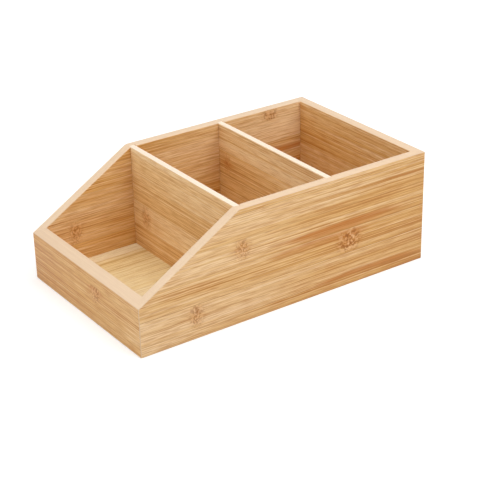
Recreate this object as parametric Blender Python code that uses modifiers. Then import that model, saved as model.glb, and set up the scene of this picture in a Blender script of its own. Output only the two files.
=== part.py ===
"""Bamboo storage box: four mitred walls, a floor panel in grooves and two dividers in housings.

Metres, +Z up. The origin is on the surface that the box stands on, under its middle. The long way
is Y, with the low sloping front at -Y, and X runs across.
"""

import math

import bmesh
import bpy
from mathutils import Vector

# Unit
MM = 0.001

# Driving sizes
LENGTH = 254.0 * MM
WIDTH = 152.4 * MM
HEIGHT = 88.9 * MM
FRONT_HEIGHT = 38.1 * MM
WALL_THICKNESS = 8.0 * MM
DIVIDER_THICKNESS = 5.0 * MM
FLOOR_THICKNESS = 5.0 * MM
FLOOR_RECESS = 2.5 * MM

# Joinery
GROOVE_DEPTH = 3.0 * MM
HOUSING_DEPTH = 2.0 * MM
GLUE_GAP = 0.3 * MM

# Sanded edges, and the rounded crest where the slope meets the level top
ARRIS_RADIUS = 0.8 * MM
ARRIS_SEGMENTS = 3
ARRIS_ANGLE = math.radians(35.0)
CREST_RADIUS = 6.0 * MM
CREST_SEGMENTS = 6
SMOOTH_ANGLE = math.radians(40.0)

# Making aids: how far a cutter runs past its cut, and what counts as one point or one plane
OVERRUN = 4.0 * MM
MERGE_DISTANCE = 0.01 * MM
FLAT_ANGLE = math.radians(0.5)

# Worked out from the sizes above
INNER_WIDTH = WIDTH - 2 * WALL_THICKNESS
INNER_LENGTH = LENGTH - 2 * WALL_THICKNESS
BAY_LENGTH = (INNER_LENGTH - 2 * DIVIDER_THICKNESS) / 3
DIVIDER_Y = (BAY_LENGTH + DIVIDER_THICKNESS) / 2
CREST_Y = -DIVIDER_Y - DIVIDER_THICKNESS / 2
SLOPE = (HEIGHT - FRONT_HEIGHT) / (CREST_Y + LENGTH / 2)
FLOOR_MIDDLE = Vector((0.0, 0.0, FLOOR_RECESS + FLOOR_THICKNESS / 2))
FLOOR_TOP = FLOOR_RECESS + FLOOR_THICKNESS

# sRGB colours of the lit faces, and how rough the clear finish leaves them
SIDE_COLOUR = (0.87, 0.67, 0.45)
END_COLOUR = (0.82, 0.63, 0.44)
DIVIDER_COLOUR = (0.80, 0.60, 0.40)
FLOOR_COLOUR = (0.84, 0.69, 0.48)
FINISH_ROUGHNESS = 0.45


def linear(channel):
    """An sRGB channel as the linear value that a shader takes."""
    if channel <= 0.04045:
        return channel / 12.92
    return ((channel + 0.055) / 1.055) ** 2.4


def finish(board, colour):
    """Gives a board its own laminated bamboo, and shades its rounded edges smooth."""
    material = bpy.data.materials.new(board.name + "_bamboo")
    material.use_nodes = True
    shader = material.node_tree.nodes["Principled BSDF"]
    shader.inputs["Base Color"].default_value = (*[linear(channel) for channel in colour], 1.0)
    shader.inputs["Roughness"].default_value = FINISH_ROUGHNESS
    shader.inputs["Metallic"].default_value = 0.0
    board.data.materials.append(material)
    board.data.shade_smooth()
    board.data.set_sharp_from_angle(angle=SMOOTH_ANGLE)


def new_collection(name):
    collection = bpy.data.collections.new(name)
    bpy.context.scene.collection.children.link(collection)
    return collection


def block(name, size, location, collection):
    """A box of this size, with its middle at location."""
    bpy.ops.mesh.primitive_cube_add(size=1.0, location=location)
    obj = bpy.context.object
    obj.name = name
    obj.scale = size
    bpy.ops.object.transform_apply(location=False, rotation=False, scale=True)
    for holder in list(obj.users_collection):
        holder.objects.unlink(obj)
    collection.objects.link(obj)
    return obj


def cutter_block(name, size, location, collection):
    """A box that cuts others and isn't part of the model."""
    cutter = block(name, size, location, collection)
    cutter.hide_render = True
    cutter.display_type = "WIRE"
    return cutter


def board_from_outline(name, outline, thickness, location, collection):
    """A board with this outline in Y and Z, this thick along X and centred on location."""
    curve = bpy.data.curves.new(name + "_outline", "CURVE")
    curve.dimensions = "2D"
    curve.fill_mode = "BOTH"
    curve.extrude = thickness / 2
    spline = curve.splines.new("POLY")
    spline.points.add(len(outline) - 1)
    for point, (y, z) in zip(spline.points, outline):
        point.co = (y, z, 0.0, 1.0)
    spline.use_cyclic_u = True
    drawn = bpy.data.objects.new(name + "_outline", curve)
    collection.objects.link(drawn)
    # The curve's own X, Y and Z become the box's Y, Z and X.
    drawn.rotation_euler = (math.pi / 2, 0.0, math.pi / 2)
    drawn.location = location
    bpy.context.view_layer.update()
    board = bpy.data.objects.new(name, welded_mesh(drawn))
    board.matrix_world = drawn.matrix_world
    collection.objects.link(board)
    bpy.data.objects.remove(drawn)
    return board


def welded_mesh(drawn):
    """The mesh of an extruded outline, with its caps joined on and its faces turned outwards."""
    graph = bpy.context.evaluated_depsgraph_get()
    mesh = bpy.data.meshes.new_from_object(drawn.evaluated_get(graph))
    shape = bmesh.new()
    shape.from_mesh(mesh)
    bmesh.ops.remove_doubles(shape, verts=shape.verts, dist=MERGE_DISTANCE)
    bmesh.ops.dissolve_limit(shape, angle_limit=FLAT_ANGLE, verts=shape.verts, edges=shape.edges)
    bmesh.ops.recalc_face_normals(shape, faces=shape.faces)
    shape.to_mesh(mesh)
    shape.free()
    return mesh


def ease_edges(board):
    """Rounds a board's sharp edges, as sanding does."""
    bevel = board.modifiers.new("sanded_edges", "BEVEL")
    bevel.width = ARRIS_RADIUS
    bevel.segments = ARRIS_SEGMENTS
    bevel.limit_method = "ANGLE"
    bevel.angle_limit = ARRIS_ANGLE


def ease_top_edges(board):
    """Rounds only the two long top edges of a block that is longest along X."""
    mesh = board.data
    top = max(vertex.co.z for vertex in mesh.vertices)
    weights = mesh.attributes.new("bevel_weight_edge", "FLOAT", "EDGE")
    for edge in mesh.edges:
        one, other = [mesh.vertices[index].co for index in edge.vertices]
        along_x = abs(one.x - other.x) > MERGE_DISTANCE
        at_top = min(one.z, other.z) > top - MERGE_DISTANCE
        weights.data[edge.index].value = float(along_x and at_top)
    bevel = board.modifiers.new("sanded_edges", "BEVEL")
    bevel.width = ARRIS_RADIUS
    bevel.segments = ARRIS_SEGMENTS
    bevel.limit_method = "WEIGHT"


def cut(board, cutter):
    boolean = board.modifiers.new("cut_" + cutter.name, "BOOLEAN")
    boolean.operation = "DIFFERENCE"
    boolean.object = cutter


def cut_mitre(board, side_x, side_y, waste, collection):
    """Trims a board to the 45 degree plane through the box's upright corner at side_x, side_y.

    waste is the level direction to the side that is cut off. Each of the two boards that meet
    there gives up half of the glue gap.
    """
    name = f"{board.name}_{'front' if side_y < 0 else 'back'}_{'left' if side_x < 0 else 'right'}"
    reach = 2 * WALL_THICKNESS + OVERRUN
    corner = Vector((side_x * WIDTH / 2, side_y * LENGTH / 2, HEIGHT / 2))
    middle = corner + waste.normalized() * (reach - GLUE_GAP / 2)
    size = (2 * reach, 2 * reach, HEIGHT + 2 * OVERRUN)
    cutter = cutter_block(name + "_mitre", size, middle, collection)
    cutter.rotation_euler.z = math.atan2(waste.y, waste.x)
    cut(board, cutter)


def crest_arc():
    """The rounded crest of a side wall, from the slope to the level top, tangent to both."""
    slope_angle = math.atan(SLOPE)
    centre_y = CREST_Y + CREST_RADIUS * math.tan(slope_angle / 2)
    centre_z = HEIGHT - CREST_RADIUS
    points = []
    for step in range(CREST_SEGMENTS + 1):
        turn = slope_angle * (1.0 - step / CREST_SEGMENTS)
        y = centre_y - CREST_RADIUS * math.sin(turn)
        z = centre_z + CREST_RADIUS * math.cos(turn)
        points.append((y, z))
    return points


def side_wall(name, side_x, cutters, parts):
    """A long wall: low at the front, then sloping up, then level from the front divider back."""
    front = -LENGTH / 2
    back = LENGTH / 2
    outline = [(front, 0.0), (front, FRONT_HEIGHT), *crest_arc(), (back, HEIGHT), (back, 0.0)]
    middle = Vector((side_x * (WIDTH - WALL_THICKNESS) / 2, 0.0, 0.0))
    wall = board_from_outline(name, outline, WALL_THICKNESS, middle, parts)
    ease_edges(wall)
    for side_y in (-1, 1):
        cut_mitre(wall, side_x, side_y, Vector((-side_x, side_y, 0.0)), cutters["collection"])
    cut(wall, cutters["floor_groove"])
    cut(wall, cutters["front_housing"])
    cut(wall, cutters["rear_housing"])
    finish(wall, SIDE_COLOUR)


def front_wall(cutters, parts):
    """The low front wall, whose top edge is planed to the slope of the side walls."""
    outer = -LENGTH / 2
    inner = outer + WALL_THICKNESS
    inner_height = FRONT_HEIGHT + WALL_THICKNESS * SLOPE
    section = [(outer, 0.0), (outer, FRONT_HEIGHT), (inner, inner_height), (inner, 0.0)]
    wall = board_from_outline("front_wall", section, WIDTH, Vector(), parts)
    finish_end_wall(wall, -1, cutters)


def back_wall(cutters, parts):
    """The full-height back wall."""
    size = (WIDTH, WALL_THICKNESS, HEIGHT)
    middle = Vector((0.0, (LENGTH - WALL_THICKNESS) / 2, HEIGHT / 2))
    wall = block("back_wall", size, middle, parts)
    finish_end_wall(wall, 1, cutters)


def finish_end_wall(wall, side_y, cutters):
    """Eases, mitres and grooves the front wall (side_y -1) or the back wall (side_y 1)."""
    ease_edges(wall)
    for side_x in (-1, 1):
        cut_mitre(wall, side_x, side_y, Vector((side_x, -side_y, 0.0)), cutters["collection"])
    cut(wall, cutters["floor_groove"])
    finish(wall, END_COLOUR)


def floor_panel(parts):
    """The floor, which all four walls hold in a groove."""
    size = (INNER_WIDTH + 2 * GROOVE_DEPTH, INNER_LENGTH + 2 * GROOVE_DEPTH, FLOOR_THICKNESS)
    panel = block("floor_panel", size, FLOOR_MIDDLE, parts)
    finish(panel, FLOOR_COLOUR)


def divider(name, side_y, parts):
    """A divider, standing on the floor panel with its ends in the side walls' housings."""
    bottom = FLOOR_TOP + GLUE_GAP
    height = HEIGHT - bottom
    size = (INNER_WIDTH + 2 * HOUSING_DEPTH, DIVIDER_THICKNESS, height)
    middle = Vector((0.0, side_y * DIVIDER_Y, bottom + height / 2))
    board = block(name, size, middle, parts)
    ease_top_edges(board)
    finish(board, DIVIDER_COLOUR)


def floor_groove(collection):
    """What the floor's groove takes out of the four walls."""
    reach = 2 * (GROOVE_DEPTH + GLUE_GAP)
    size = (INNER_WIDTH + reach, INNER_LENGTH + reach, FLOOR_THICKNESS + 2 * GLUE_GAP)
    return cutter_block("floor_groove", size, FLOOR_MIDDLE, collection)


def housing(name, side_y, collection):
    """What one divider's housings take out of both side walls, from the floor up past the top."""
    width = INNER_WIDTH + 2 * (HOUSING_DEPTH + GLUE_GAP)
    height = HEIGHT - FLOOR_TOP + OVERRUN
    size = (width, DIVIDER_THICKNESS + 2 * GLUE_GAP, height)
    middle = Vector((0.0, side_y * DIVIDER_Y, FLOOR_TOP + height / 2))
    return cutter_block(name, size, middle, collection)


def build():
    for obj in list(bpy.data.objects):
        bpy.data.objects.remove(obj)
    parts = new_collection("bamboo_storage_box")
    collection = new_collection("cutters")
    cutters = {
        "collection": collection,
        "floor_groove": floor_groove(collection),
        "front_housing": housing("front_housing", -1, collection),
        "rear_housing": housing("rear_housing", 1, collection),
    }
    side_wall("left_wall", -1, cutters, parts)
    side_wall("right_wall", 1, cutters, parts)
    front_wall(cutters, parts)
    back_wall(cutters, parts)
    floor_panel(parts)
    divider("front_divider", -1, parts)
    divider("rear_divider", 1, parts)


build()
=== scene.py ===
# %% [markdown]
# # A bamboo storage box with three bays
#
# The box is already modelled to size: seven plain boards that were packed as one object. This
# lesson loads those boards as a frame and makes each of them again as a joiner would, with sawn
# mitres, eased edges and tight joints. Then it gives them the look of laminated bamboo.
#
# The frame comes first, because every size below is read from it.

# %% Load the frame
import math

import bpy
from mathutils import Matrix, Vector


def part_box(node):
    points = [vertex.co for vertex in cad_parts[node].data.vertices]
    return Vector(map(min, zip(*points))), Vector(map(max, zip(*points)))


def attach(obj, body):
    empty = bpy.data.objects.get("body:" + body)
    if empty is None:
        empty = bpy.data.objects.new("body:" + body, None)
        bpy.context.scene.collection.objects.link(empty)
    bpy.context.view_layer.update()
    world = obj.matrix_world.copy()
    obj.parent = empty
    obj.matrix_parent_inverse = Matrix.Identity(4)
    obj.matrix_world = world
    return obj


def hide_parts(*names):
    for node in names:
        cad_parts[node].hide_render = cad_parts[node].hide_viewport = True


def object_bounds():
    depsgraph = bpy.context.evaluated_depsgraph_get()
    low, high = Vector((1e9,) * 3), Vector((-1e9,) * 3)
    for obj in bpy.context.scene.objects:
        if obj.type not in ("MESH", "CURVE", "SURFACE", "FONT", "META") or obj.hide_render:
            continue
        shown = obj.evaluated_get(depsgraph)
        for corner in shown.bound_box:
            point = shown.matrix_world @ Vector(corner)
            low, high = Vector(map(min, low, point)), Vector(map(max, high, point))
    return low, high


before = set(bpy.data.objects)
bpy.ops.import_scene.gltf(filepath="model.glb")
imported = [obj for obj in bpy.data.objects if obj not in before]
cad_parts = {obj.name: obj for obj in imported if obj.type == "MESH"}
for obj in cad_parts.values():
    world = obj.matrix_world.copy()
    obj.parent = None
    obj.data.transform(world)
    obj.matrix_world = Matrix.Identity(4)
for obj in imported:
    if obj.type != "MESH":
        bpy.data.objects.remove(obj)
cad_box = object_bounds()

MM = 0.001


def in_mm(lengths):
    """Lengths in metres as rounded millimetres, for printing."""
    return [round(length / MM, 2) for length in lengths]


print("CAD box in mm:", [in_mm(corner) for corner in cad_box])

# %% [markdown]
# ## Sizes
#
# The outer box, the boards' thicknesses and the bays all follow from those corners. Only the
# front's height and the roundings are given, because a bounding box doesn't show them.

# %% Read the sizes off the frame
outer_low, outer_high = cad_box
right_low, right_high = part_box("right_wall")
divider_boxes = {name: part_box(name) for name in ("front_divider", "rear_divider")}
floor_low, floor_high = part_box("floor_panel")

wall = right_high.x - right_low.x
inner_x = outer_high.x - wall
inner_y = outer_high.y - wall
rim = outer_high.z
crest_y = divider_boxes["front_divider"][0].y
front_edge = 38.1 * MM
slope = math.atan2(rim - front_edge, crest_y - outer_low.y)
slope_normal = (0.0, -math.sin(slope), math.cos(slope))
print(f"walls {wall / MM:.1f} mm, slope {math.degrees(slope):.1f} degrees")

# %% [markdown]
# ## Sawing boards
#
# Each board starts as a cube that is scaled to the blank it is cut from. A saw cut is a bisect in
# edit mode: it fills the cut with a new face and throws away one side, which is how a mitre saw
# works too. Everything is deselected first, because loading the frame leaves its boards selected.

# %% Blank and saw
SAW_TOLERANCE = 0.001 * MM


def pick(board):
    """Makes a board the only one that the next operator works on."""
    bpy.ops.object.select_all(action="DESELECT")
    bpy.context.view_layer.objects.active = board
    board.select_set(True)


def blank(name, low, high):
    """A rectangular board between two corners, with its place in its mesh."""
    bpy.ops.object.select_all(action="DESELECT")
    bpy.ops.mesh.primitive_cube_add(size=1.0, location=(low + high) / 2)
    board = bpy.context.object
    board.name = name
    board.scale = high - low
    bpy.ops.object.transform_apply(location=True, rotation=True, scale=True)
    return board


def saw(board, point, normal, keep_both=False):
    """Cuts a board with a plane. The side that normal points to is waste, unless both are kept."""
    pick(board)
    bpy.ops.object.mode_set(mode="EDIT")
    bpy.ops.mesh.select_all(action="SELECT")
    bpy.ops.mesh.bisect(
        plane_co=point,
        plane_no=normal,
        use_fill=not keep_both,
        clear_outer=not keep_both,
        threshold=SAW_TOLERANCE,
    )
    bpy.ops.object.mode_set(mode="OBJECT")


print("saw cuts hold to", SAW_TOLERANCE / MM, "mm")

# %% [markdown]
# ## Easing, routing and mitring
#
# A sharp bamboo edge splinters, so a joiner sands it round: here that is a bevel. A groove or a
# housing is routed, which is a boolean with a bit of the groove's size. A mitre is one saw cut
# through the corner of the box, set back by half of the glue joint.

# %% Plane, router and mitre tools
EASED_EDGE = 0.8 * MM
EASED_SEGMENTS = 4
EASED_ANGLE = math.radians(35.0)
JOINT_GAP = 0.05 * MM


def apply_modifiers(board):
    """Makes what a board's modifiers show its own mesh."""
    pick(board)
    for modifier in list(board.modifiers):
        bpy.ops.object.modifier_apply(modifier=modifier.name)


def ease_edges(board, which="ANGLE"):
    """Sands edges round: every sharp one, or with WEIGHT only those that carry a bevel weight."""
    bevel = board.modifiers.new("eased_edges", "BEVEL")
    bevel.width = EASED_EDGE
    bevel.segments = EASED_SEGMENTS
    bevel.limit_method = which
    bevel.angle_limit = EASED_ANGLE
    apply_modifiers(board)


def ends_of(board, edge):
    """The places of an edge's two ends."""
    return [board.data.vertices[index].co for index in edge.vertices]


def rout(board, low, high):
    """Takes a rectangular groove or housing out of a board."""
    bit = blank("router_bit", low, high)
    groove = board.modifiers.new("groove", "BOOLEAN")
    groove.operation = "DIFFERENCE"
    groove.solver = "EXACT"
    groove.object = bit
    apply_modifiers(board)
    bpy.data.objects.remove(bit)


def groove_for_floor(board):
    gap = Vector((JOINT_GAP, JOINT_GAP, JOINT_GAP))
    rout(board, floor_low - gap, floor_high + gap)


def mitre(board, side_x, side_y, waste):
    """Saws a board's end at 45 degrees through the corner of the box at side_x, side_y."""
    corner = Vector((side_x * outer_high.x, side_y * outer_high.y, 0.0))
    waste = waste.normalized()
    saw(board, corner - waste * JOINT_GAP / 2, waste)


print(f"edges eased by {EASED_EDGE / MM:.1f} mm, joints {JOINT_GAP / MM:.2f} mm wide")

# %% [markdown]
# ## The long walls
#
# Seen from the side, a long wall is low at the front, slopes up to the front divider and then runs
# level. The slope is one saw cut. The crest where it meets the level top is bevelled to a soft
# curve, then every edge is eased, and only then are the mitres sawn, so that their faces stay
# crisp. A groove takes the floor, and two housings take the ends of the dividers. They are routed
# a hair wide, which leaves the fine dark line beside each divider.

# %% Make the side walls
CREST_RADIUS = 6.0 * MM
CREST_SEGMENTS = 8
HOUSING_PLAY = 0.15 * MM
OVERRUN = 4.0 * MM


def round_crest(board):
    """Rounds the edge between the slope and the level top of a side wall."""
    bpy.ops.object.mode_set(mode="EDIT")
    bpy.ops.mesh.select_mode(type="EDGE")
    bpy.ops.mesh.select_all(action="DESELECT")
    bpy.ops.object.mode_set(mode="OBJECT")
    for edge in board.data.edges:
        edge.select = all(
            abs(end.y - crest_y) < EASED_EDGE and rim - end.z < EASED_EDGE
            for end in ends_of(board, edge)
        )
    bpy.ops.object.mode_set(mode="EDIT")
    bpy.ops.mesh.bevel(
        offset_type="OFFSET",
        offset=CREST_RADIUS * math.tan(slope / 2),
        segments=CREST_SEGMENTS,
        profile=0.5,
        affect="EDGES",
    )
    bpy.ops.object.mode_set(mode="OBJECT")


def side_wall(name, side_x):
    low = Vector((min(side_x * inner_x, side_x * outer_high.x), outer_low.y, outer_low.z))
    high = low + Vector((wall, outer_high.y - outer_low.y, rim))
    board = blank(name, low, high)
    saw(board, (0.0, crest_y, rim), slope_normal)
    round_crest(board)
    ease_edges(board)
    for side_y in (-1, 1):
        mitre(board, side_x, side_y, Vector((-side_x, side_y, 0.0)))
    groove_for_floor(board)
    for box_low, box_high in divider_boxes.values():
        gap = Vector((JOINT_GAP, HOUSING_PLAY, 0.0))
        rout(board, box_low - gap, box_high + gap + Vector((0.0, 0.0, OVERRUN)))
    return board


left_wall = side_wall("bamboo_left_wall", -1)
right_wall = side_wall("bamboo_right_wall", 1)
print("side walls:", len(left_wall.data.polygons), "and", len(right_wall.data.polygons), "faces")

# %% [markdown]
# ## The end walls
#
# The front wall's top is planed to the same slope as the side walls, so the rim runs round the
# low corner in one plane. The back wall is as high as the rim.

# %% Make the front and back walls
def top_of(board):
    """How high a board reaches."""
    return max(vertex.co.z for vertex in board.data.vertices)


def end_wall(name, side_y):
    low = Vector((outer_low.x, min(side_y * inner_y, side_y * outer_high.y), outer_low.z))
    board = blank(name, low, low + Vector((outer_high.x - outer_low.x, wall, rim)))
    if side_y < 0:
        saw(board, (0.0, outer_low.y, front_edge), slope_normal)
    ease_edges(board)
    for side_x in (-1, 1):
        mitre(board, side_x, side_y, Vector((side_x, -side_y, 0.0)))
    groove_for_floor(board)
    return board


front_wall = end_wall("bamboo_front_wall", -1)
back_wall = end_wall("bamboo_back_wall", 1)
print("front and back wall tops in mm:", in_mm([top_of(front_wall), top_of(back_wall)]))

# %% [markdown]
# ## The floor and the dividers
#
# The floor is a thin panel that sits in the walls' grooves. A divider stands on it, and its ends
# reach into the side walls. Only its two long top edges are eased: the ends are hidden in their
# housings, and easing them would leave a notch in the rim. So those two edges get a bevel weight.

# %% Make the floor and the dividers
def divider(name, node):
    low, high = divider_boxes[node]
    board = blank(name, Vector((low.x, low.y, floor_high.z + JOINT_GAP)), high)
    weights = board.data.attributes.new("bevel_weight_edge", "FLOAT", "EDGE")
    for edge in board.data.edges:
        ends = ends_of(board, edge)
        is_top = all(end.z > high.z - EASED_EDGE for end in ends)
        is_long = abs(ends[0].x - ends[1].x) > wall
        weights.data[edge.index].value = float(is_top and is_long)
    ease_edges(board, "WEIGHT")
    return board


floor_panel = blank("bamboo_floor_panel", floor_low, floor_high)
front_divider = divider("bamboo_front_divider", "front_divider")
rear_divider = divider("bamboo_rear_divider", "rear_divider")
print("floor and divider tops in mm:", in_mm([top_of(floor_panel), top_of(front_divider)]))

# %% [markdown]
# ## Staves
#
# A bamboo board is glued up from staves: strips about 19 mm wide that are split from the culm,
# planed and laid side by side. Each stave has its own shade, which may fade along its length. Now
# and then it has a knuckle, the ring where a leaf grew, or an amber streak, where sap stained it.
# All that could be drawn by hand on a texture for each board. Here every face is told which stave
# it lies in and what that stave is like, and one material reads those marks and dresses any board.

# %% Describe a stave
STAVE = 19.3 * MM


def stave(shade, fade=0.0, knuckle=None, boldness=1.0, streak=None):
    """One strip of bamboo, as the marks that its faces get.

    shade runs from -1, dark, to 1, pale, and fade is how much it changes over 100 mm. knuckle and
    streak are places in mm, along the stave and across the board. boldness is how long and strong
    the knuckle is, where 1 is common.
    """
    return shade, fade, boldness, knuckle, streak


print(f"staves are {STAVE / MM:.1f} mm wide")

# %% [markdown]
# Each board is cut along its glue lines with both sides kept. A second cut beside the first leaves
# a narrow strip of faces for the glue. Faces that were sawn or sanded across the outer fibres look
# paler, and are told so too. On the rounded edges that paleness is also a painted highlight, the
# bright line that light leaves along an eased edge. The marks are attributes of the faces, which a
# material can read by name.

# %% Cut the glue lines and mark the faces
GLUE_WIDTH = 0.3 * MM
# A rounded edge is sanded through the outer fibres, so its slant counts this many times. Its
# paleness also paints the highlight along that edge.
ROUNDING_SANDED_AND_HIGHLIT = 4.0
# A stave without a knuckle or streak has its mark out here, where no pattern reaches the box.
FAR_AWAY = Vector((1.0, 1.0, 1.0))
X_AXIS = Vector((1.0, 0.0, 0.0))
Y_AXIS = Vector((0.0, 1.0, 0.0))
Z_AXIS = Vector((0.0, 0.0, 1.0))
STAVE_MARKS = ("stave_shade", "stave_fade", "stave_number", "knuckle_boldness", "glue", "cut_edge_and_highlight")
PLACE_MARKS = ("knuckle_place", "streak_place")


def lay_staves(board, along, across, first_line, first_number, staves):
    """Cuts a board along its glue lines, which start at first_line, and marks its staves.

    The staves are numbered from first_number, so that no two have the same grain.
    """
    for index in range(len(staves) - 1):
        line = first_line + index * STAVE
        for side in (-1, 1):
            saw(board, across * (line + side * GLUE_WIDTH / 2), across, keep_both=True)
    marks = {name: [] for name in STAVE_MARKS}
    places = {name: [] for name in PLACE_MARKS}
    for face in board.data.polygons:
        row = (face.center.dot(across) - first_line) / STAVE
        index = max(0, min(len(staves) - 1, math.floor(row) + 1))
        shade, fade, boldness, *spots = staves[index]
        line = round(row)
        on_line = 0 <= line < len(staves) - 1 and abs(row - line) * STAVE < GLUE_WIDTH / 2
        slant = 1.0 - max(abs(part) for part in face.normal)
        # Sawn faces look pale, and rounded edges get that paleness too, which also paints their
        # highlight.
        cut = max(abs(face.normal.dot(across)), ROUNDING_SANDED_AND_HIGHLIT * slant)
        values = (shade, fade, first_number + index, boldness, float(on_line), cut)
        for name, value in zip(STAVE_MARKS, values):
            marks[name].append(value)
        depth = face.center - along * face.center.dot(along) - across * face.center.dot(across)
        for name, spot in zip(PLACE_MARKS, spots):
            place = depth + along * spot[0] * MM + across * spot[1] * MM if spot else FAR_AWAY
            places[name].extend(place)
    for name, values in marks.items():
        board.data.attributes.new(name, "FLOAT", "FACE").data.foreach_set("value", values)
    for name, values in places.items():
        board.data.attributes.new(name, "FLOAT_VECTOR", "FACE").data.foreach_set("vector", values)
    print(board.name, "has", len(staves), "staves")


print("each face gets", len(STAVE_MARKS) + len(PLACE_MARKS), "marks")

# %% [markdown]
# ### Staves of the walls
#
# Each list runs from the first stave to the last, so a wall's starts at the bottom. The lines,
# shades, knuckles and streaks that can be seen lie where the real box has them. The hidden ones are
# made up in the same way: a knuckle or two on a board, and shades that stay close together.

# %% Lay the staves of the walls
lay_staves(right_wall, Y_AXIS, Z_AXIS, first_line=7.6 * MM, first_number=410, staves=[
    stave(0.1, fade=-0.3),
    stave(0.25, fade=-0.2, knuckle=(-81.0, 19.0), boldness=0.9, streak=(75.0, 8.5)),
    stave(0.1, fade=-0.1, knuckle=(55.0, 37.0), boldness=1.5, streak=(30.0, 43.0)),
    stave(0.15, fade=-0.2, knuckle=(-41.0, 59.0), boldness=0.9, streak=(50.0, 50.5)),
    stave(0.2, fade=-0.2),
    stave(0.05),
])
lay_staves(left_wall, Y_AXIS, Z_AXIS, first_line=2.8 * MM, first_number=30, staves=[
    stave(0.3),
    # The next two staves fade darker towards the back. That is partly the cane's own change and
    # partly a painted shade in the corner by the front divider.
    stave(-0.1, fade=-0.3, knuckle=(30.0, 12.0)),
    stave(0.0, fade=-0.3, knuckle=(-95.0, 31.0), boldness=0.8),
    stave(0.3, streak=(85.0, 52.5)),
    stave(0.3, fade=0.35),
    stave(0.15, fade=0.4, knuckle=(88.0, 83.0)),
])
lay_staves(front_wall, X_AXIS, Z_AXIS, first_line=11.0 * MM, first_number=50, staves=[
    stave(-0.1, fade=0.3),
    stave(-0.05, fade=0.3, knuckle=(16.0, 27.0)),
    stave(0.0, fade=0.3),
])
lay_staves(back_wall, X_AXIS, Z_AXIS, first_line=16.0 * MM, first_number=70, staves=[
    stave(0.1, knuckle=(40.0, 8.0)),
    stave(0.3, fade=0.2, knuckle=(-30.0, 26.0)),
    stave(0.2),
    stave(0.1, fade=0.2),
    stave(0.15),
])

# %% [markdown]
# ### Staves of the dividers and the floor
#
# The dividers' staves run across the box, one above another. The floor's run from front to back,
# and its list starts at the left. Its first shade is past 1, so that this stave stays pale all over
# when its tone wanders.

# %% Lay the staves of the dividers and the floor
lay_staves(front_divider, X_AXIS, Z_AXIS, first_line=26.0 * MM, first_number=90, staves=[
    stave(-0.2),
    stave(0.3, fade=0.2, knuckle=(-50.0, 36.0), boldness=0.8),
    stave(-0.05),
    stave(0.15),
    stave(0.2),
])
lay_staves(rear_divider, X_AXIS, Z_AXIS, first_line=10.0 * MM, first_number=110, staves=[
    stave(0.2),
    stave(0.3, knuckle=(30.0, 20.0)),
    stave(0.1),
    stave(0.0, fade=0.35, knuckle=(-57.0, 58.0), boldness=0.6),
    stave(0.35, fade=0.1),
    stave(0.2),
])
# After the first, the floor's staves fade paler towards the front and darker towards the back. That
# is partly the cane's own change and partly painted light, where light falls in over the low front
# wall, and painted shade by the front divider.
lay_staves(floor_panel, Y_AXIS, X_AXIS, first_line=-57.6 * MM, first_number=130, staves=[
    stave(1.3),
    stave(-0.2, fade=-0.3),
    stave(-0.1, fade=-0.4),
    stave(-0.1, fade=-0.3, knuckle=(20.0, -9.0), boldness=0.7),
    stave(0.2, fade=-0.4),
    stave(0.3, fade=-0.2, knuckle=(60.0, 30.0), boldness=0.7),
    stave(0.2, fade=-0.3),
    stave(0.1, fade=-0.3),
])

# %% [markdown]
# ## Laminated bamboo
#
# Bamboo has no rings. Its grain is a bundle of straight fibres, so the grain here is noise that is
# stretched along the stave. The boards are sanded and wiped with a clear lacquer, which gives a
# satin gloss and shows the fibres as the faintest ribs.
#
# The patterns are worked out in the board's own coordinates, with Y along the grain. For boards
# whose grain runs across the box, the coordinates and the marks are turned a quarter first.

# %% Colour and node helpers
def linear(hex_colour):
    """An sRGB hex colour as the linear RGBA that shaders use, by the curve of that standard."""
    channels = [int(hex_colour[i:i + 2], 16) / 255 for i in (1, 3, 5)]
    curve = [c / 12.92 if c <= 0.04045 else ((c + 0.055) / 1.055) ** 2.4 for c in channels]
    return (*curve, 1.0)


def add_node(tree, kind, inputs=(), **settings):
    """Adds a node, sets its options, and links or sets its inputs by name or number."""
    node = tree.nodes.new(kind)
    for option, value in settings.items():
        setattr(node, option, value)
    for socket, value in dict(inputs).items():
        if isinstance(value, bpy.types.NodeSocket):
            tree.links.new(value, node.inputs[socket])
        else:
            node.inputs[socket].default_value = value
    return node


def read_marks(tree, turned):
    """The place on the board and the stave's marks. turned is True where the grain runs along X."""
    marks = {
        name: add_node(tree, "ShaderNodeAttribute", attribute_name=name).outputs["Fac"]
        for name in STAVE_MARKS
    }
    sources = {
        name: add_node(tree, "ShaderNodeAttribute", attribute_name=name).outputs["Vector"]
        for name in PLACE_MARKS
    }
    sources["place"] = add_node(tree, "ShaderNodeTexCoord").outputs["Object"]
    quarter = (0.0, 0.0, math.pi / 2 if turned else 0.0)
    for name, source in sources.items():
        turn = add_node(tree, "ShaderNodeMapping", {"Vector": source, "Rotation": quarter})
        marks[name] = turn.outputs["Vector"]
    return marks


print("the middle grey #808080 is", round(linear("#808080")[0], 3), "in linear light")

# %% [markdown]
# ### Knuckles and streaks
#
# At a knuckle the fibres tie a loose knot, and sap stains the board a little before and behind it.
# An amber streak is long and thin. All three are found by their distance to the mark that the stave
# carries, measured in half-widths across and half-lengths along, so that a ball becomes an oval or
# a needle. Boldness stretches a knuckle and its stain lengthwise.

# %% Measure the way to a mark
# Each half size is half a width and half a length, and each core is the share that is marked fully.
KNUCKLE_HALF_SIZE = (14.0 * MM, 10.5 * MM)
KNUCKLE_CORE = 0.15
STAIN_HALF_SIZE = (8.0 * MM, 25.0 * MM)
STAIN_CORE = 0.12
STREAK_HALF_SIZE = (5.0 * MM, 80.0 * MM)
STREAK_CORE = 0.4


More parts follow.
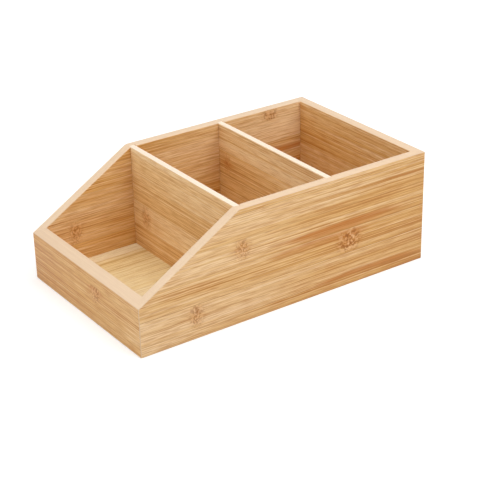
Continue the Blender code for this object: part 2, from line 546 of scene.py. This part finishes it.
def offset_from(tree, place, mark, half_size, boldness=1.0):
    """The way from a mark to a place, counted in the mark's half-widths and half-lengths.

    boldness makes the mark that many times as long.
    """
    half_width, half_length = half_size
    away = add_node(tree, "ShaderNodeVectorMath", {
        0: place, 1: mark,
    }, operation="SUBTRACT").outputs[0]
    length = add_node(tree, "ShaderNodeMath", {
        0: boldness, 1: half_length,
    }, operation="MULTIPLY").outputs[0]
    size = add_node(tree, "ShaderNodeCombineXYZ", {
        "X": half_width, "Y": length, "Z": half_width,
    }).outputs["Vector"]
    return add_node(tree, "ShaderNodeVectorMath", {0: away, 1: size}, operation="DIVIDE").outputs[0]


def nearness(tree, place, mark, half_size, core, boldness=1.0):
    """How near a place is to a mark: 1 inside the core, a share of the half-size, and 0 outside."""
    away = offset_from(tree, place, mark, half_size, boldness)
    away = add_node(tree, "ShaderNodeVectorMath", {0: away}, operation="LENGTH").outputs["Value"]
    return add_node(tree, "ShaderNodeMapRange", {
        "Value": away, "From Min": 1.0, "From Max": core,
    }, interpolation_type="SMOOTHSTEP").outputs["Result"]


print("a common knuckle reaches", in_mm(KNUCKLE_HALF_SIZE), "mm across and along")

# %% [markdown]
# In the knot the fibres swerve round each other, and their cut ends show as short pale and dark
# dashes that spread from its foot like a fan. The swerve is a noise that moves the place at which
# every other pattern is read, so all of them bend together. The fan is a noise that is read by the
# direction from the mark instead of the place.

# %% Swerve the fibres and fan the dashes
SWERVE_WIDTH = 4.0 * MM
SWERVE = 3.5 * MM
NOISE_MIDDLE = (0.5, 0.5, 0.5)
# The fan's foot lies this many half-sizes off the knuckle's middle, below it on a standing board.
FAN_FOOT = (0.45, 0.0, 0.45)
RAYS_ROUND = 34
RINGS_OF_RAYS = 3.6


def swerve(tree, place, number):
    """The place moved to and fro by a noise, as the fibres swerve in a knot."""
    swirl = add_node(tree, "ShaderNodeTexNoise", {
        "Vector": place, "W": number, "Scale": 1 / SWERVE_WIDTH, "Detail": 2.0,
    }, noise_dimensions="4D").outputs["Color"]
    centred = add_node(tree, "ShaderNodeVectorMath", {
        0: swirl, 1: NOISE_MIDDLE,
    }, operation="SUBTRACT").outputs[0]
    return add_node(tree, "ShaderNodeVectorMath", {
        0: centred, 1: (SWERVE, SWERVE, SWERVE), 2: place,
    }, operation="MULTIPLY_ADD").outputs[0]


def knuckle_fan(tree, place, mark, number, boldness):
    """A noise in short dashes that spread from the foot of a knuckle, which is below its middle."""
    away = offset_from(tree, place, mark, KNUCKLE_HALF_SIZE, boldness)
    away = add_node(tree, "ShaderNodeVectorMath", {
        0: away, 1: FAN_FOOT,
    }, operation="ADD").outputs[0]
    direction = add_node(tree, "ShaderNodeVectorMath", {0: away}, operation="NORMALIZE").outputs[0]
    ray = add_node(tree, "ShaderNodeVectorMath", {
        0: direction, "Scale": RAYS_ROUND / math.tau,
    }, operation="SCALE").outputs[0]
    distance = add_node(tree, "ShaderNodeVectorMath", {
        0: away,
    }, operation="LENGTH").outputs["Value"]
    ring = add_node(tree, "ShaderNodeMath", {
        0: distance, 1: RINGS_OF_RAYS, 2: number,
    }, operation="MULTIPLY_ADD").outputs[0]
    return add_node(tree, "ShaderNodeTexNoise", {
        "Vector": ray, "W": ring, "Scale": 1.0, "Detail": 1.0,
    }, noise_dimensions="4D").outputs["Fac"]


print("a full fan would have", RAYS_ROUND, "rays")

# %% [markdown]
# ### Grain
#
# Each pattern has a real width and length. A stave's tone wanders in patches and bands, round the
# shade that it was given and the way that it fades.

# %% Find each stave's tone
# Widths and lengths in mm.
PATCHES = (16.0, 140.0)
BANDS = (3.0, 300.0)
PATCH_SHARE = 0.5
# How far the noises stray from their middle, and how far they then take the tone.
NOISE_SPREAD = 0.3
WANDER = 0.18
FADE_OVER = 100.0 * MM


def stretched_noise(tree, place, number, size, detail=2.0):
    """Noise whose patches have this width and length, and differ from stave to stave."""
    width, length = (side * MM for side in size)
    scaled = add_node(tree, "ShaderNodeMapping", {
        "Vector": place, "Scale": (1 / width, 1 / length, 1 / width),
    }).outputs["Vector"]
    return add_node(tree, "ShaderNodeTexNoise", {
        "Vector": scaled, "W": number, "Scale": 1.0, "Detail": detail,
    }, noise_dimensions="4D").outputs["Fac"]


def stave_tone(tree, marks, grain):
    """From -1, dark, to 1, pale: the stave's shade and fade, with soft patches and bands."""
    number = marks["stave_number"]
    patches = stretched_noise(tree, grain, number, PATCHES)
    bands = stretched_noise(tree, grain, number, BANDS)
    wander = add_node(tree, "ShaderNodeMath", {
        0: patches, 1: PATCH_SHARE, 2: bands,
    }, operation="MULTIPLY_ADD").outputs[0]
    middle = (1.0 + PATCH_SHARE) / 2
    wander = add_node(tree, "ShaderNodeMapRange", {
        "Value": wander, "From Min": middle - NOISE_SPREAD, "From Max": middle + NOISE_SPREAD,
        "To Min": -WANDER, "To Max": WANDER,
    }).outputs["Result"]
    along = add_node(tree, "ShaderNodeSeparateXYZ", {"Vector": marks["place"]}).outputs["Y"]
    along = add_node(tree, "ShaderNodeMath", {
        0: along, 1: FADE_OVER,
    }, operation="DIVIDE").outputs[0]
    tone = add_node(tree, "ShaderNodeMath", {
        0: along, 1: marks["stave_fade"], 2: marks["stave_shade"],
    }, operation="MULTIPLY_ADD").outputs[0]
    return add_node(tree, "ShaderNodeMath", {0: tone, 1: wander}, operation="ADD").outputs[0]


print("a stave's tone wanders by", WANDER, "up and down")

# %% [markdown]
# ### Vessels and sap
#
# The sap vessels are thin dark lines that come and go, so two noises are added: one gives the lines
# and the other lets them fade out. Dark staves come from near the culm's skin, where the vessels
# stand closer, so a dark tone brings more of them and more amber sap, and a pale one fewer. Sap
# also gathers in the marked streaks and, more weakly, before and behind a knuckle.

# %% Find the vessels and the sap
# Widths and lengths in mm. Real vessels are about half as wide, which would not show.
VESSELS = (0.8, 350.0)
VESSEL_BREAKS = (6.0, 70.0)
STREAKS = (3.0, 180.0)
BREAK_SHARE = 0.35
VESSELS_IN_PALE_STAVES = -0.25
SAP_IN_PALE_STAVES = -0.2
STREAK_PULL = 0.42
STAIN_SHARE = 0.5


def vessel_lines(tree, grain, number, tone):
    """High where a vessel runs and low between the vessels."""
    lines = stretched_noise(tree, grain, number, VESSELS, detail=1.0)
    breaks = stretched_noise(tree, grain, number, VESSEL_BREAKS, detail=1.0)
    vessels = add_node(tree, "ShaderNodeMath", {
        0: breaks, 1: BREAK_SHARE, 2: lines,
    }, operation="MULTIPLY_ADD").outputs[0]
    return add_node(tree, "ShaderNodeMath", {
        0: tone, 1: VESSELS_IN_PALE_STAVES, 2: vessels,
    }, operation="MULTIPLY_ADD").outputs[0]


def amber_sap(tree, grain, number, tone, stain, streak):
    """High where sap has coloured the board."""
    marked = add_node(tree, "ShaderNodeMath", {
        0: stain, 1: STAIN_SHARE, 2: streak,
    }, operation="MULTIPLY_ADD").outputs[0]
    sap = stretched_noise(tree, grain, number, STREAKS)
    sap = add_node(tree, "ShaderNodeMath", {
        0: tone, 1: SAP_IN_PALE_STAVES, 2: sap,
    }, operation="MULTIPLY_ADD").outputs[0]
    return add_node(tree, "ShaderNodeMath", {
        0: marked, 1: STREAK_PULL, 2: sap,
    }, operation="MULTIPLY_ADD").outputs[0]


print("vessels are", VESSELS[0], "mm wide and about", VESSELS[1], "mm long")

# %% [markdown]
# ### Lacquer
#
# Lacquer sinks into the fibres unevenly, which breaks up the gloss and leaves faint ribs. The
# roughness follows the fibres between two values, and a bump raises them by a few hundredths of a
# millimetre.

# %% Wipe on the lacquer
# Width and length in mm. Real fibres are about half as wide, which would not show.
FIBRES = (0.5, 14.0)
# Open-pored boards mirror a little less than a closed film of lacquer, whose IOR is 1.5.
LACQUER_IOR = 1.42
LACQUER_ROUGHNESS = (0.36, 0.52)
FIBRE_RIBS = 0.05 * MM
RIB_STRENGTH = 0.25


def lacquer(tree, colour, fibres):
    """A satin coat over the colour, with a rib for each fibre. fibres is a noise of that size."""
    smooth, rough = LACQUER_ROUGHNESS
    gloss = add_node(tree, "ShaderNodeMapRange", {
        "Value": fibres, "To Min": smooth, "To Max": rough,
    }).outputs["Result"]
    ribs = add_node(tree, "ShaderNodeBump", {
        "Height": fibres, "Strength": RIB_STRENGTH, "Distance": FIBRE_RIBS,
    }).outputs["Normal"]
    shader = tree.nodes["Principled BSDF"]
    tree.links.new(colour, shader.inputs["Base Color"])
    tree.links.new(gloss, shader.inputs["Roughness"])
    tree.links.new(ribs, shader.inputs["Normal"])
    shader.inputs["IOR"].default_value = LACQUER_IOR
    shader.inputs["Metallic"].default_value = 0.0


print("fibre ribs are", FIBRE_RIBS / MM, "mm high")

# %% [markdown]
# ### Layers of colour
#
# A board's colour starts at one tone and is mixed, layer by layer, towards others. Each layer is a
# noise or a mark, stretched from where it starts to where it is full, and that decides how much of
# its colour is mixed in. In a Mix node, socket 0 is that share, 4 and 5 take vectors, and 6 and 7
# take colours.

# %% Mix the layers
def mix_layers(tree, colour, layers):
    """Mixes the colour of each layer into the colour below it."""
    for driver, start, full, strength, tint in layers:
        amount = add_node(tree, "ShaderNodeMapRange", {
            "Value": driver, "From Min": start, "From Max": full, "To Max": strength,
        }).outputs["Result"]
        colour = add_node(tree, "ShaderNodeMix", {
            0: amount, 6: colour, 7: tint,
        }, data_type="RGBA").outputs[2]
    return colour


# %% [markdown]
# ### The bamboo
#
# The colour starts at honey. The stave's shade comes first, then the sap, the vessels and the
# fibres, and last the knuckles, the glue lines and the pale sawn edges, where the paleness of the
# rounded edges is also a painted highlight. A bold knuckle mixes in more of its colours. All of the
# grain bends where a knuckle is near.

# %% Make the bamboo
AMBER = linear("#BC6C0A")
KNUCKLE_DARK = linear("#925000")
KNUCKLE_PALE = linear("#F4CF9A")
GLUE = linear("#A87A45")
# How strong a common knuckle's amber ground, pale dashes and dark dashes are.
KNUCKLE_STRENGTHS = (0.35, 0.35, 0.65)


def bamboo(name, turned, vessel, dark, honey, pale, sawn):
    """Bamboo, sanded and wiped with clear lacquer: satin, with faint ribs along the grain."""
    material = bpy.data.materials.new(name)
    material.use_nodes = True
    tree = material.node_tree

    marks = read_marks(tree, turned)
    place, number = marks["place"], marks["stave_number"]
    knuckle, boldness = marks["knuckle_place"], marks["knuckle_boldness"]
    swerved = swerve(tree, place, number)
    near = nearness(tree, swerved, knuckle, KNUCKLE_HALF_SIZE, KNUCKLE_CORE, boldness)
    stain = nearness(tree, place, knuckle, STAIN_HALF_SIZE, STAIN_CORE, boldness)
    streak = nearness(tree, place, marks["streak_place"], STREAK_HALF_SIZE, STREAK_CORE)
    grain = add_node(tree, "ShaderNodeMix", {
        0: near, 4: place, 5: swerved,
    }, data_type="VECTOR").outputs[1]

    tone = stave_tone(tree, marks, grain)
    vessels = vessel_lines(tree, grain, number, tone)
    sap = amber_sap(tree, grain, number, tone, stain, streak)
    fibres = stretched_noise(tree, grain, number, FIBRES)
    dashes = knuckle_fan(tree, swerved, knuckle, number, boldness)
    bold = add_node(tree, "ShaderNodeMath", {
        0: near, 1: boldness,
    }, operation="MULTIPLY").outputs[0]
    halo, pale_dash, dark_dash = [
        add_node(tree, "ShaderNodeMath", {0: bold, 1: strength}, operation="MULTIPLY").outputs[0]
        for strength in KNUCKLE_STRENGTHS
    ]

    # Each layer: what drives it, where it starts and where it is full, how strong, which colour.
    colour = mix_layers(tree, honey, [
        (tone, 0.0, -1.0, 1.0, dark),
        (tone, 0.0, 1.0, 1.0, pale),
        (vessels, 0.65, 0.48, 0.6, pale),
        (sap, 0.62, 1.0, 0.85, AMBER),
        (vessels, 0.69, 0.87, 0.82, vessel),
        (fibres, 0.45, 0.62, 0.5, vessel),
        (dashes, 0.0, 0.1, halo, AMBER),
        (dashes, 0.48, 0.36, pale_dash, KNUCKLE_PALE),
        (dashes, 0.5, 0.6, dark_dash, KNUCKLE_DARK),
        (marks["glue"], 0.0, 1.0, 0.5, GLUE),
        # Pale sawn faces, with a painted highlight on the rounded edges.
        (marks["cut_edge_and_highlight"], 0.3, 0.8, 0.85, sawn),
    ])
    lacquer(tree, colour, fibres)
    print(name, "has", len(tree.nodes), "nodes")
    return material


# %% [markdown]
# The walls are of honey-coloured bamboo, steamed until it browns. The dividers and the floor are of
# paler staves. Each set of tones is that of the vessels, a dark stave, a middling one, a pale one
# and the sawn edges, whose colour on the rounded edges also paints a highlight.

# %% Dress the boards
WALL_TONES = [linear(tone) for tone in ("#AE6614", "#C68224", "#DAAA64", "#F4D6AC", "#D8BFA3")]
DIVIDER_TONES = [linear(tone) for tone in ("#B67A38", "#CC985A", "#EBC386", "#F6DDB4", "#EADBC9")]
FLOOR_TONES = [linear(tone) for tone in ("#BA8E4C", "#CDA768", "#E9D29C", "#F2E3BE", "#ECDAC6")]
wall_lengthwise = bamboo("lacquered_bamboo_side_walls", False, *WALL_TONES)
wall_crosswise = bamboo("lacquered_bamboo_end_walls", True, *WALL_TONES)
divider_crosswise = bamboo("lacquered_bamboo_dividers", True, *DIVIDER_TONES)
floor_lengthwise = bamboo("lacquered_bamboo_floor", False, *FLOOR_TONES)

# %% [markdown]
# ## Putting the boards in the frame
#
# Each new board stands for one board of the frame, which is hidden, rides on the same body and gets
# its bamboo. Its eased edges are shaded smooth, and its corners stay sharp.

# %% Finish the boards
SMOOTH_BELOW = math.radians(40.0)
boards = [
    (left_wall, "left_wall", "wall_bamboo", wall_lengthwise),
    (right_wall, "right_wall", "wall_bamboo", wall_lengthwise),
    (front_wall, "front_wall", "wall_bamboo", wall_crosswise),
    (back_wall, "back_wall", "wall_bamboo", wall_crosswise),
    (floor_panel, "floor_panel", "floor_bamboo", floor_lengthwise),
    (front_divider, "front_divider", "divider_bamboo", divider_crosswise),
    (rear_divider, "rear_divider", "divider_bamboo", divider_crosswise),
]
for board, node, slot_name, material in boards:
    board.data.materials.clear()
    board.data.materials.append(material)
    pick(board)
    bpy.ops.object.shade_smooth_by_angle(angle=SMOOTH_BELOW)
    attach(board, "root")
    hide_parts(node)
print("boards:", len(boards))

# %% Lay the paper
PAPER_SIZE_IN_METRES = 6.0
PAPER_DROP = 0.02 * MM

bpy.ops.object.select_all(action="DESELECT")
bpy.ops.mesh.primitive_plane_add(size=PAPER_SIZE_IN_METRES, location=(0.0, 0.0, -PAPER_DROP))
ground = bpy.context.object
ground.name = "studio_floor"
print("paper:", PAPER_SIZE_IN_METRES, "m square")

# %% [markdown]
# Light paper would need strong lamps to look white, and they would bleach the bamboo. So the paper
# and the world have a brightness of their own that only the camera and reflections see, while the
# light on the box stays plain. The lamps don't reach the far paper, so its own brightness grows
# with the distance.

# %% Make the paper white
PAPER_GREY = linear("#E1E1E1")
PAPER_GLOW = 0.35
FAR_GLOW = 1.0
# The distances from the box, in metres, between which the glow rises.
GLOW_RISES_FROM = 0.3
GLOW_RISES_TO = 1.5


def seen_rays(tree):
    """1 for a ray that the camera sends, also by a reflection or through glass, and otherwise 0."""
    path = add_node(tree, "ShaderNodeLightPath")
    seen = path.outputs["Is Camera Ray"]
    for kind in ("Is Glossy Ray", "Is Transmission Ray"):
        seen = add_node(tree, "ShaderNodeMath", {
            0: seen, 1: path.outputs[kind],
        }, operation="MAXIMUM").outputs[0]
    return seen


paper = bpy.data.materials.new("white_studio_paper")
paper.use_nodes = True
tree = paper.node_tree
tree.nodes.clear()
place = add_node(tree, "ShaderNodeTexCoord").outputs["Object"]
away = add_node(tree, "ShaderNodeVectorMath", {0: place}, operation="LENGTH").outputs["Value"]
glow = add_node(tree, "ShaderNodeMapRange", {
    "Value": away, "From Min": GLOW_RISES_FROM, "From Max": GLOW_RISES_TO,
    "To Min": PAPER_GLOW, "To Max": FAR_GLOW,
}).outputs["Result"]
glow = add_node(tree, "ShaderNodeMath", {
    0: seen_rays(tree), 1: glow,
}, operation="MULTIPLY").outputs[0]
lit = add_node(tree, "ShaderNodeBsdfDiffuse", {"Color": PAPER_GREY}).outputs[0]
own = add_node(tree, "ShaderNodeEmission", {"Strength": glow}).outputs[0]
both = add_node(tree, "ShaderNodeAddShader", {0: lit, 1: own}).outputs[0]
add_node(tree, "ShaderNodeOutputMaterial", {"Surface": both})
ground.data.materials.append(paper)
print(paper.name, "has", len(tree.nodes), "nodes")

# %% [markdown]
# The world is a white room. It gives the box a little light from all sides, and shows as plain
# white wherever the camera looks past the paper.

# %% Make the world
WORLD_LIGHT = 0.3
WORLD_SEEN = 1.0
world = bpy.data.worlds.new("studio")
bpy.context.scene.world = world
world.use_nodes = True
tree = world.node_tree
tree.nodes.clear()
strength = add_node(tree, "ShaderNodeMapRange", {
    "Value": seen_rays(tree), "To Min": WORLD_LIGHT, "To Max": WORLD_SEEN,
}).outputs["Result"]
sky = add_node(tree, "ShaderNodeBackground", {
    "Color": linear("#FFFFFF"), "Strength": strength,
}).outputs[0]
add_node(tree, "ShaderNodeOutputWorld", {"Surface": sky})
print("world: light", WORLD_LIGHT, "and seen as", WORLD_SEEN)

# %% [markdown]
# The main light stands behind the box on the right, high up, like a large window. It leaves the
# inner faces that turn away from it deep in tone. Softer lamps fill in from above, from the front
# and from the left. All are big squares of light, so no shadow has a hard edge.

# %% Hang the lamps
# Distance and size are in metres, angles in degrees and power in watts.
LAMP_DISTANCE = 1.3
LAMP_SIZE = 1.0


def softbox(name, azimuth, elevation, power):
    """A square lamp that looks at the box. Azimuth 0 is the front and 90 the right."""
    a, e = math.radians(azimuth), math.radians(elevation)
    back = Vector((math.sin(a) * math.cos(e), -math.cos(a) * math.cos(e), math.sin(e)))
    bpy.ops.object.light_add(type="AREA", location=back * LAMP_DISTANCE)
    lamp = bpy.context.object
    lamp.name = name
    lamp.data.size = LAMP_SIZE
    lamp.data.energy = power
    lamp.rotation_euler = back.to_track_quat("Z", "Y").to_euler()


softbox("window", azimuth=135.0, elevation=50.0, power=7.0)
softbox("right_fill", azimuth=90.0, elevation=50.0, power=4.3)
softbox("overhead", azimuth=55.0, elevation=89.0, power=5.2)
softbox("front_fill", azimuth=0.0, elevation=38.0, power=4.7)
softbox("left_fill", azimuth=-45.0, elevation=35.0, power=2.8)

# %% [markdown]
# ## Camera
#
# The camera looks from the front right, a little from above, through a long lens. Its numbers were
# worked out from the places of the box's corners in the photo. It aims a little to the right of the
# origin and above it, which sets where the box sits in the picture.

# %% Set up the camera
# The distance is in metres, and the lens and the sensor are in mm as photographers count them.
AZIMUTH = math.radians(55.17)
ELEVATION = math.radians(26.27)
ROLL = math.radians(-1.16)
DISTANCE = 1.092
SIDEWAYS = 14.9 * MM
UPWARDS = 13.6 * MM
LENS = 102.2
SENSOR = 36.0

back = Vector((
    math.sin(AZIMUTH) * math.cos(ELEVATION),
    -math.cos(AZIMUTH) * math.cos(ELEVATION),
    math.sin(ELEVATION),
))
right = Z_AXIS.cross(back).normalized()
up = back.cross(right)
turn = Matrix.Rotation(ROLL, 4, back)
right, up = turn @ right, turn @ up
aim = right * SIDEWAYS + up * UPWARDS
bpy.ops.object.camera_add()
camera = bpy.context.object
camera.name = "photo_camera"
camera.data.lens = LENS
camera.data.sensor_width = SENSOR
facing = Matrix((right, up, back)).transposed().to_4x4()
camera.matrix_world = Matrix.Translation(aim + back * DISTANCE) @ facing
bpy.context.scene.camera = camera
bpy.context.scene.view_settings.view_transform = "Standard"
print("camera at", [round(v, 3) for v in camera.location])

# %% [markdown]
# ## Finish
#
# The dressed box must fill the same space as the imported one. Last, the scene is brought up to
# date.

# %% Finish
bpy.context.view_layer.update()
